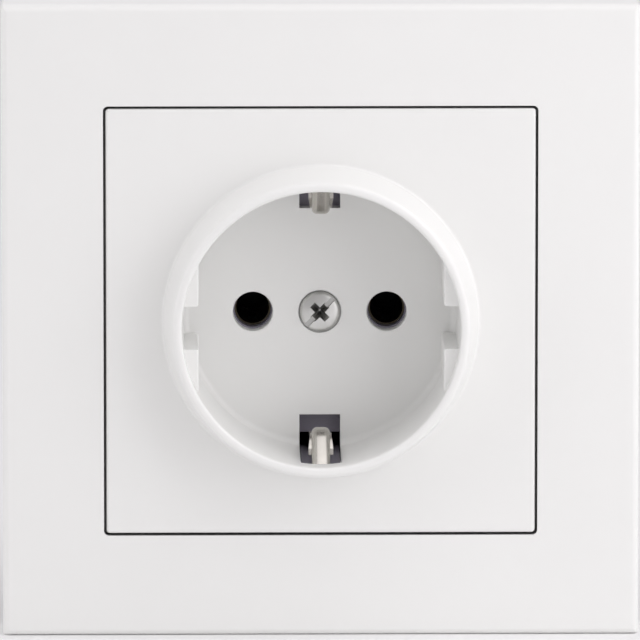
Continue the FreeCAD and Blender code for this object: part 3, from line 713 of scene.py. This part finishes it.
# Centre plate
# One white moulding: the square face, the raised collar, the recess with its two split guides and the pot behind.
# The centre screw pulls it against the frame's ledge. Slots and pin holes are open through its floor.
plate_half = 0.0303
plate_corner_r = 0.0005
plate_edge_r = 0.00042
plate_skin = 0.0019
plate_rim_width = 0.0026
plate_rib_thick = 0.001
plate_rib_deep = 0.0026
plate_rib_end = 0.03245
plate_rib_sunk_share = 0.8
crest_y = -0.0179
crest_r = 0.0196
crest_outer_r = 0.0209
crest_outer_round = 0.00075
crest_inner_round = 0.00045
foot_r = 0.0222
foot_round = 0.0005
floor_y = -0.0004
recess_floor_r = 0.01945
recess_corner_r = 0.001
pot_outer_r = 0.02125
pot_end_y = 0.002
pot_end_round = 0.0003
guide_x = 0.01725
guide_top_y = -0.0154
guide_round = 0.0003
groove_half = 0.00305
slot_half = 0.0029
slot_inner_r = 0.0148
slot_outer_r = 0.0209
slot_end_y = -0.0145
pin_hole_r = 0.0028
pin_hole_round = 0.00025
seat_r = 0.00305
seat_cone_r = 0.0027
seat_step_y = 0.0
screw_hole_r = 0.00172
cut_past = 0.001
groove_points = 8
flat_points = 10
wall_points = 96
turned_steps = 96
plate_edge_steps = 5
shoulder_steps = 10
foot_steps = 8
slot_steps = 12
corner_reach = 5


def wall_quadrant(radius, flat=None):
    """A quarter of the recess outline: groove, guide and round wall, or the same stations on the full circle."""
    near = guide_x if flat is None else flat
    stations = []
    for step in range(groove_points + 1):
        z = groove_half * step / groove_points
        stations.append((math.sqrt(radius ** 2 - z ** 2), z))
    for angle in arc_steps(small_round_steps):
        z = groove_half + guide_round * (1 - math.cos(angle))
        x = near + guide_round * (1 - math.sin(angle))
        stations.append((math.sqrt(radius ** 2 - z ** 2) if flat is None else x, z))
    low_z = groove_half + guide_round
    high_z = math.sqrt(radius ** 2 - near ** 2)
    for step in range(1, flat_points + 1):
        z = low_z + (high_z - low_z) * step / flat_points
        stations.append((math.sqrt(radius ** 2 - z ** 2) if flat is None else near, z))
    start = math.acos(near / radius)
    for step in range(1, wall_points + 1):
        angle = start + (quarter_turn - start) * step / wall_points
        stations.append((radius * math.cos(angle), radius * math.sin(angle)))
    return stations


def whole_loop(quadrant, y):
    """Closed loop from its first quarter."""
    second = [(-x, z) for x, z in reversed(quadrant[:-1])]
    third = [(-x, -z) for x, z in quadrant[1:]]
    fourth = [(x, -z) for x, z in reversed(quadrant[1:-1])]
    return [Vector((x, y, z)) for x, z in quadrant + second + third + fourth]


def square_quadrant(half, corner_r, directions):
    """A quarter of a rounded square with a point for each station of the round outline."""
    middle = min(range(len(directions)), key=lambda place: abs(directions[place] - math.radians(45.0)))
    before, after = middle - corner_reach, middle + corner_reach
    straight = half - corner_r
    stations = []
    for place, direction in enumerate(directions):
        if place <= before:
            stations.append((half, straight * math.tan(direction) / math.tan(directions[before])))
        elif place < after:
            angle = quarter_turn * (place - before) / (after - before)
            stations.append((straight + corner_r * math.cos(angle), straight + corner_r * math.sin(angle)))
        else:
            stations.append((straight * math.tan(directions[after]) / math.tan(direction), half))
    return stations


def recess_levels():
    """Levels of the recess from its floor to the crest: outline radius, height and guide flat."""
    def wall_r(y):
        return recess_floor_r + (crest_r - recess_floor_r) * (floor_y - y) / (floor_y - crest_y)

    levels = []
    for angle in arc_steps(large_round_steps):
        levels.append((recess_floor_r - recess_corner_r * (1 - math.sin(angle)),
                       floor_y - recess_corner_r * (1 - math.cos(angle)), guide_x))
    for angle in arc_steps(small_round_steps):
        y = guide_top_y + guide_round * (1 - math.sin(angle))
        levels.append((wall_r(y), y, guide_x + guide_round * (1 - math.cos(angle))))
    levels.append((wall_r(guide_top_y), guide_top_y, None))
    for angle in arc_steps(small_round_steps):
        levels.append((crest_r + crest_inner_round * (1 - math.cos(angle)),
                       crest_y + crest_inner_round * (1 - math.sin(angle)), None))
    return levels


def collar_points():
    """Radius and height of the collar outside its crest: the shoulder, the cone and the soft foot."""
    front = -frame_depth
    lean = math.atan((foot_r - crest_outer_r) / (front - crest_y))
    shoulder_r = crest_outer_r - crest_outer_round * (1 - math.sin(lean)) / math.cos(lean)
    foot_centre_r = foot_r + foot_round * (1 - math.sin(lean)) / math.cos(lean)
    points = []
    for step in range(shoulder_steps + 1):
        angle = -quarter_turn + (quarter_turn - lean) * step / shoulder_steps
        points.append((shoulder_r + crest_outer_round * math.cos(angle),
                       crest_y + crest_outer_round * (1 + math.sin(angle))))
    for step in range(foot_steps + 1):
        angle = math.radians(180.0) - lean - (quarter_turn - lean) * step / foot_steps
        points.append((foot_centre_r + foot_round * math.cos(angle),
                       front - foot_round * (1 - math.sin(angle))))
    return points


def plate_loops():
    """All loops of the plate, from the recess floor over the collar and the face to the end of the pot."""
    loops = [whole_loop(wall_quadrant(radius, flat), y) for radius, y, flat in recess_levels()]
    loops += [whole_loop(wall_quadrant(radius), y) for radius, y in collar_points()]
    directions = [math.atan2(z, x) for x, z in wall_quadrant(foot_r)]
    directions[-1] = quarter_turn
    front = -frame_depth
    for angle in arc_steps(plate_edge_steps):
        inset = plate_edge_r * (1 - math.sin(angle))
        corner = max(plate_corner_r - inset, sharpest_corner)
        loops.append(whole_loop(square_quadrant(plate_half - inset, corner, directions),
                                front + plate_edge_r * (1 - math.cos(angle))))
    back = front + plate_skin
    inner = plate_half - plate_rim_width
    for half, y in ((plate_half, ledge_y), (inner, ledge_y), (inner, back)):
        loops.append(whole_loop(square_quadrant(half, plate_corner_r, directions), y))
    loops.append(whole_loop(wall_quadrant(pot_outer_r), back))
    for angle in arc_steps(small_round_steps):
        loops.append(whole_loop(wall_quadrant(pot_outer_r - pot_end_round * (1 - math.cos(angle))),
                                pot_end_y - pot_end_round * (1 - math.sin(angle))))
    return loops


def turned_solid(name, profile, x, z, segments):
    """Closed solid turned about an axis along Y, from the radius and height of each corner."""
    form = bmesh.new()
    rings = []
    for radius, y in profile:
        rings.append([Vector((x + radius * math.cos(2 * math.pi * step / segments), y,
                              z + radius * math.sin(2 * math.pi * step / segments))) for step in range(segments)])
    ends = skin_over(form, rings, False)
    form.faces.new(ends[0])
    form.faces.new(ends[-1])
    return piece_from(form, name)


def prism(name, outline, y_front, y_back):
    """Closed solid with the same outline of x and z at both ends."""
    form = bmesh.new()
    ends = skin_over(form, [[Vector((x, y, z)) for x, z in outline] for y in (y_front, y_back)], False)
    form.faces.new(ends[0])
    form.faces.new(ends[-1])
    return piece_from(form, name)


def cut_from(piece, cutters):
    """Takes the cutters out of the piece."""
    for cutter in cutters:
        cut = piece.modifiers.new("Cut", "BOOLEAN")
        cut.operation = "DIFFERENCE"
        cut.solver = "EXACT"
        cut.object = cutter
    made_plain(piece)
    for cutter in cutters:
        bpy.data.objects.remove(cutter)
    return piece


def pin_hole_cutter(x):
    """Straight hole with a rounded edge at the floor."""
    profile = [(pin_hole_r + pin_hole_round, floor_y - cut_past)]
    for angle in arc_steps(small_round_steps):
        profile.append((pin_hole_r + pin_hole_round * (1 - math.sin(angle)),
                        floor_y + pin_hole_round * (1 - math.cos(angle))))
    profile.append((pin_hole_r, pot_end_y + cut_past))
    return turned_solid("pin_hole_cutter", profile, x, 0.0, turned_steps)


def slot_cutters(side):
    """Space of one earth finger: a pocket up the wall of the recess, and a cut through floor and pot below it."""
    upper = [(-slot_half, side * slot_inner_r), (slot_half, side * slot_inner_r)]
    reach = math.asin(slot_half / slot_outer_r)
    for step in range(slot_steps + 1):
        angle = reach * (1 - 2 * step / slot_steps)
        upper.append((slot_outer_r * math.sin(angle), side * slot_outer_r * math.cos(angle)))
    far = pot_outer_r + cut_past
    lower = [(-slot_half, side * slot_inner_r), (slot_half, side * slot_inner_r),
             (slot_half, side * far), (-slot_half, side * far)]
    return [prism("slot_cutter", upper, slot_end_y, pot_end_y + cut_past),
            prism("slot_cutter", lower, ledge_y, pot_end_y + cut_past)]


plate_form = bmesh.new()
plate_rings = skin_over(plate_form, plate_loops(), False)
plate_form.faces.new(plate_rings[0])
plate_form.faces.new(plate_rings[-1])
plate_shell = piece_from(plate_form, "plate_and_collar")
seat_cone_y = seat_step_y + seat_cone_r - screw_hole_r
seat_cutter = turned_solid("seat_cutter", [(seat_r, floor_y - cut_past), (seat_r, seat_step_y),
                                           (seat_cone_r, seat_step_y), (screw_hole_r, seat_cone_y),
                                           (screw_hole_r, pot_end_y + cut_past)], 0.0, 0.0, turned_steps)
pin_cutters = [pin_hole_cutter(mount_at(name).x) for name in ("line_pin_hole", "neutral_pin_hole")]
cut_from(plate_shell, [seat_cutter] + pin_cutters + slot_cutters(1) + slot_cutters(-1))
plate_rib_sizes = {"Rib Thickness": plate_rib_thick, "Rib Depth": plate_rib_deep, "Pot Radius": pot_outer_r,
                   "Skin Back": -frame_depth + plate_skin, "Rib End": plate_rib_end}
plate_tree, sizes_in, geometry_out = tree_of_nodes("ribs_behind_a_plate", plate_rib_sizes)
size = sizes_in.outputs
sunk = worked_out(plate_tree, "MULTIPLY", size["Rib Thickness"], plate_rib_sunk_share)
rib_bare = worked_out(plate_tree, "SUBTRACT", size["Rib End"], size["Pot Radius"])
rib_reach = worked_out(plate_tree, "ADD", rib_bare, sunk)
rib_tall = worked_out(plate_tree, "ADD", size["Rib Depth"], sunk)
rib = add_node(plate_tree, "GeometryNodeMeshCube",
               Size=vector_of(plate_tree, rib_reach, rib_tall, size["Rib Thickness"]))
rib_x = worked_out(plate_tree, "SUBTRACT", size["Rib End"], worked_out(plate_tree, "MULTIPLY", rib_reach, 0.5))
rib_y = worked_out(plate_tree, "SUBTRACT", worked_out(plate_tree, "ADD", size["Skin Back"], size["Rib Depth"]),
                   worked_out(plate_tree, "MULTIPLY", rib_tall, 0.5))
rib_out = moved(plate_tree, rib.outputs[0], rib_x, rib_y)
ribbed = add_node(plate_tree, "GeometryNodeJoinGeometry")
plate_tree.links.new(sizes_in.outputs["Geometry"], ribbed.inputs[0])
for quarter in range(4):
    turn = math.radians(45.0) + quarter_turn * quarter
    plate_tree.links.new(turned(plate_tree, rib_out, y=turn), ribbed.inputs[0])
real_and_coated(plate_tree, ribbed.outputs[0], white_finish, geometry_out)
plate = grown_by(plate_tree, "plate_moulding", plate_shell.data, plate_rib_sizes)
bpy.data.objects.remove(plate_shell)
even_shading(plate, 28)
finished(plate, white_finish, "white_moulding", "centre_plate")


# Centre screw
# Raised countersunk machine screw, zinc-plated steel, with a cross recess and a sawn slot. It holds the centre plate
# and the frame to the yoke's threaded boss.
head_r = 0.0029
head_rim = 0.00025
head_dome = 0.0009
head_edge_r = 0.0006
centre_shank_r = 0.00146
centre_screw_end = 0.0106
centre_screw_point = 0.0004
dome_steps = 16
edge_steps = 6
cross_half = 0.00155
cross_wing_half = 0.0005
cross_bottom_half = 0.0002
cross_bottom_wing_half = 0.00005
cross_depth = 0.0023
sawn_half = 0.00035
sawn_depth = 0.0006
sawn_reach_share = 1.2
screw_turn = math.radians(45.0)
# Depths and share of the shade painted on the screw's head.
dark_from = 0.0006
dark_to = 0.0002
dark_share = 0.65
centre_screw_colour = (0.74, 0.74, 0.72, 1.0)


def screw_profile():
    """Radius and height down the screw: the dome, the rim, the cone under the head and the shank."""
    crown = head_dome - head_edge_r
    crown_r = head_r - head_edge_r
    ball_r = (crown_r ** 2 + crown ** 2) / (2 * crown)
    reach = math.asin(crown_r / ball_r)
    points = []
    for step in range(1, dome_steps + 1):
        angle = reach * step / dome_steps
        points.append((ball_r * math.sin(angle), floor_y - head_dome + ball_r * (1 - math.cos(angle))))
    for step in range(1, edge_steps + 1):
        angle = reach + (quarter_turn - reach) * step / edge_steps
        points.append((crown_r + head_edge_r * (math.sin(angle) - math.sin(reach)) / (1 - math.sin(reach)),
                       floor_y - head_edge_r * math.cos(angle) / math.cos(reach)))
    points.append((head_r, floor_y + head_rim))
    points.append((centre_shank_r, floor_y + head_rim + head_r - centre_shank_r))
    points.append((centre_shank_r, centre_screw_end - centre_screw_point))
    points.append((centre_shank_r - centre_screw_point, centre_screw_end))
    return points


def cross_cutter(turn):
    """Cross recess as one body, narrower at its bottom, turned about the screw's axis."""
    top = floor_y - head_dome
    levels = ((cross_half, cross_wing_half, top - cut_past), (cross_half, cross_wing_half, top),
              (cross_bottom_half, cross_bottom_wing_half, top + cross_depth))
    loops = []
    for half, wing, y in levels:
        loop = []
        for arm in range(4):
            angle = turn + quarter_turn * arm
            for along, across in ((half, -wing), (half, wing), (wing, wing)):
                loop.append(Vector((along * math.cos(angle) - across * math.sin(angle), y,
                                    along * math.sin(angle) + across * math.cos(angle))))
        loops.append(loop)
    form = bmesh.new()
    ends = skin_over(form, loops, False)
    form.faces.new(ends[0])
    form.faces.new(ends[-1])
    return piece_from(form, "cross_cutter")


def sawn_slot_cutter(turn):
    """Straight slot across the whole head."""
    top = floor_y - head_dome
    reach = head_r * sawn_reach_share
    corners = [(reach, sawn_half), (-reach, sawn_half), (-reach, -sawn_half), (reach, -sawn_half)]
    outline = [(x * math.cos(turn) - z * math.sin(turn), x * math.sin(turn) + z * math.cos(turn))
               for x, z in corners]
    return prism("sawn_slot_cutter", outline, top - cut_past, top + sawn_depth)


def shade_painted_by_depth(material, from_y, to_y, share):
    """Painted shade: darkens a metal from one depth to another, so its low rim and deep recesses look shaded."""
    tree = material.node_tree
    shaded_by(material, spread_of(tree, own_place(tree)["Y"], 1.0, share, from_y, to_y))


centre_screw_finish = plated_metal("dull_zinc_steel", centre_screw_colour, 0.36, 0.000006, (1.0, 1.0, 1.0), 0.8)
# Painted shade on the screw's head: its colour falls to the share from 0.6 mm to 0.2 mm above the floor, over the rim
# and the deeper parts of the recesses.
shade_painted_by_depth(centre_screw_finish, floor_y - dark_from, floor_y - dark_to, dark_share)
centre_screw = turned_solid("plate_screw", screw_profile(), 0.0, 0.0, turned_steps)
cut_from(centre_screw, [sawn_slot_cutter(screw_turn), cross_cutter(screw_turn)])
smooth_by_angle(centre_screw.data, 30)
finished(centre_screw, centre_screw_finish, "screw_steel", "centre_screw")


# Floor, light and camera
# A plain pale floor that the frame's lower edge stands on, and an even pale surround. Square soft lights stand above
# on both sides, beside the part and behind it, with a weak one in front.
floor_colour = (0.88, 0.88, 0.88, 1.0)
floor_half = 1.5
floor_z = -0.045
camera_elevation = math.radians(9.0)
camera_azimuth = math.radians(-0.83)
camera_distance = 1.6
picture_width = 0.0903
studio_tint = (1.0, 0.98, 1.0)
surround_strength = 0.455
aim = Vector((-0.0001, -frame_depth, 0.0002))


def plain_floor():
    """Pale floor sheet under the part."""
    form = bmesh.new()
    corners = [(-floor_half, -floor_half), (floor_half, -floor_half), (floor_half, floor_half),
               (-floor_half, floor_half)]
    form.faces.new([form.verts.new((x, y, floor_z)) for x, y in corners])
    mesh = bpy.data.meshes.new("floor")
    form.to_mesh(mesh)
    form.free()
    sheet = bpy.data.objects.new("floor", mesh)
    bpy.context.scene.collection.objects.link(sheet)
    mesh.materials.append(new_finish("floor_paint", {"Base Color": floor_colour, "Roughness": 0.7}))


def away_from_part(azimuth, elevation):
    """Direction from the part towards a lamp or the camera."""
    return Vector((math.sin(azimuth) * math.cos(elevation), -math.cos(azimuth) * math.cos(elevation),
                   math.sin(elevation)))


def soft_light(name, azimuth, elevation, distance, side, power):
    """Square area light that looks at the part: angles in degrees, distance and side in metres, power in watts."""
    light = bpy.data.lights.new(name, "AREA")
    light.shape = "SQUARE"
    light.size = side
    light.energy = power
    light.color = studio_tint
    lamp = bpy.data.objects.new(name, light)
    bpy.context.scene.collection.objects.link(lamp)
    away = away_from_part(math.radians(azimuth), math.radians(elevation))
    lamp.location = aim + away * distance
    lamp.rotation_euler = away.to_track_quat("Z", "Y").to_euler()


plain_floor()
soft_light("front", 28.0, 28.0, 0.8, 0.7, 0.1)
soft_light("right_top", 60.0, 55.0, 0.7, 0.75, 2.15)
soft_light("left_top", -60.0, 55.0, 0.7, 0.75, 0.65)
soft_light("right_fill", 52.0, 10.0, 0.38, 0.3, 0.45)
soft_light("left_fill", -78.0, 6.0, 0.6, 0.6, 1.2)
soft_light("back_fill", 190.0, 35.0, 1.2, 0.9, 2.0)

world = bpy.data.worlds.new("studio")
bpy.context.scene.world = world
world.use_nodes = True
world.node_tree.nodes["Background"].inputs["Color"].default_value = studio_tint + (1.0,)
world.node_tree.nodes["Background"].inputs["Strength"].default_value = surround_strength

camera = bpy.data.cameras.new("camera")
camera.sensor_width = 36.0
camera.lens = camera.sensor_width * camera_distance / picture_width
viewer = bpy.data.objects.new("camera", camera)
bpy.context.scene.collection.objects.link(viewer)
away = away_from_part(camera_azimuth, camera_elevation)
viewer.location = aim + away * camera_distance
viewer.rotation_euler = away.to_track_quat("Z", "Y").to_euler()
camera.clip_start = 0.1
camera.clip_end = 20.0
bpy.context.scene.camera = viewer
bpy.context.scene.view_settings.view_transform = "Standard"
